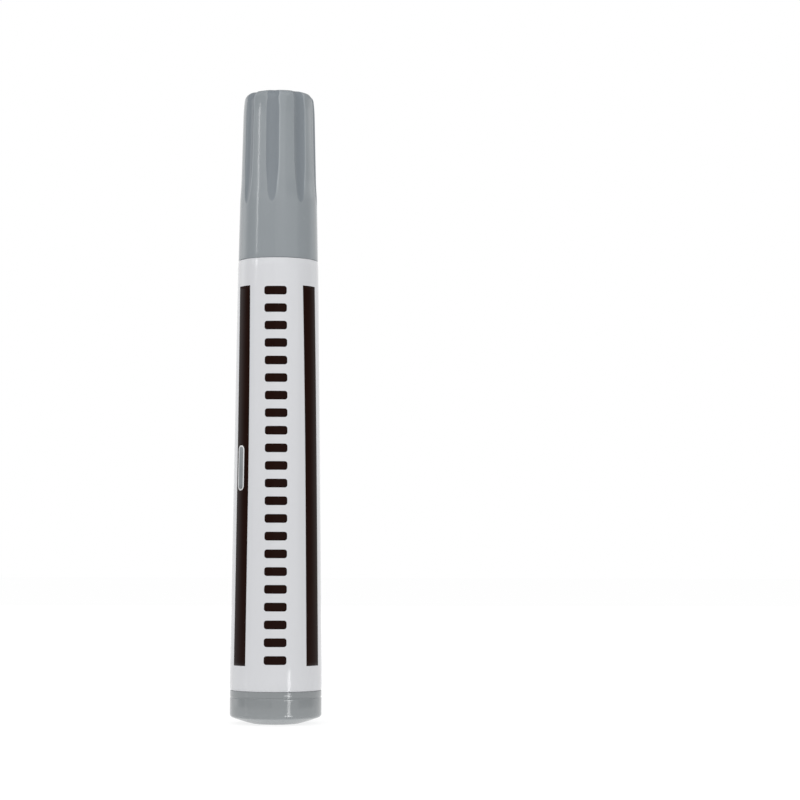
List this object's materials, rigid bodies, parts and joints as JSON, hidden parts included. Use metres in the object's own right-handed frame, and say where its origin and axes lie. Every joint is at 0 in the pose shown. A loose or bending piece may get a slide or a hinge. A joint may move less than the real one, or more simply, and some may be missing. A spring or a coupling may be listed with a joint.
{
  "type": "felt-tip touch-up marker",
  "caption": "Upright furniture touch-up marker: fluted grey pull-off cap over a bullet nib, white tapered barrel with dark stripes, and a grey end plug.",
  "frame": {"origin": "centre of the flat land under the end plug, which the marker stands on", "axes": "+Z along the marker's axis, from the end plug to the cap; -Y faces the picture's camera, with the label's seam at +Y"},
  "size_m": [0.0176, 0.0176, 0.121],
  "materials": {
    "cap_plastic": "satin moulded grey",
    "liner_plastic": "natural moulded",
    "barrel_plastic": "glossy moulded white",
    "label_print": "glossy white film with dark brown stripes",
    "holder_plastic": "moulded off-white",
    "nib_felt": "ink-soaked grey felt",
    "core_fibre": "ink-soaked fibre",
    "core_film": "thin clear film",
    "plug_plastic": "satin moulded grey"
  },
  "bodies": {
    "marker": {"barrel": "barrel_plastic", "label_film": "label_print", "nib_holder": "holder_plastic", "nib": "nib_felt", "reservoir_core": "core_fibre", "reservoir_film": "core_film", "end_plug": "plug_plastic"},
    "cap": {"cap_shell": "cap_plastic", "cap_liner": "liner_plastic"}
  },
  "joints": [
    {"name": "cap_pull", "type": "slide", "parent": "marker", "child": "cap", "axis": [0, 0, 1], "range_m": [0, 0.04]}
  ]
}
